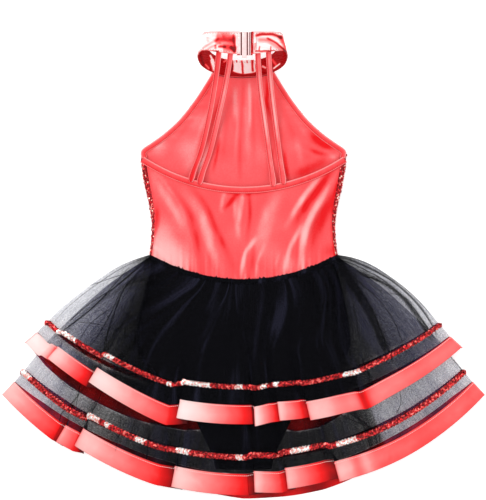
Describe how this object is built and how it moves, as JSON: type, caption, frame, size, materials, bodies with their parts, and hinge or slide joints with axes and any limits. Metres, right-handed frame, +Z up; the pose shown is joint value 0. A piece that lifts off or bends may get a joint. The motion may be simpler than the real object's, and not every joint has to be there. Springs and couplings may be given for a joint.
{
  "type": "ballet tutu dress",
  "caption": "Child's halter tutu dress laid flat, face down: open strappy back, stand-up collar with clasp, built-in briefs and tiered net skirt with ribbon hems and sequin trims.",
  "frame": {"origin": "centre of the dress's footprint, on the surface it lies on", "axes": "+Z up from the surface, towards the dress's back; +Y along the dress from hem to collar; +X to the right of one who looks down on its back"},
  "size_m": [0.6258, 0.5982, 0.0588],
  "materials": {
    "sequin_cloth": "red sequins on knit",
    "lining": "smooth matt knit",
    "bodice_cloth": "stretch cloth with a soft sheen",
    "foil_cloth": "metallic foil print",
    "clasp": "pale gloss",
    "briefs_cloth": "matt black knit",
    "net": "sheer black net",
    "satin_ribbon": "satin",
    "sequin_trim": "strung red sequins"
  },
  "bodies": {
    "root": {"front_bodice": "sequin_cloth", "front_lining": "lining", "back_bodice": "bodice_cloth", "back_neck_binding": "bodice_cloth", "armhole_binding_left": "bodice_cloth", "armhole_binding_right": "bodice_cloth", "strap_left_outer": "bodice_cloth", "strap_left_inner": "bodice_cloth", "strap_right_inner": "bodice_cloth", "strap_right_outer": "bodice_cloth", "collar_band": "foil_cloth", "clasp_hook": "clasp", "clasp_eye": "clasp", "briefs_front": "briefs_cloth", "briefs_back": "briefs_cloth", "upper_tier": "net", "upper_ribbon": "satin_ribbon", "upper_sequin_trim": "sequin_trim", "lower_tier": "net", "lower_ribbon": "satin_ribbon", "lower_sequin_trim": "sequin_trim"}
  },
  "joints": []
}
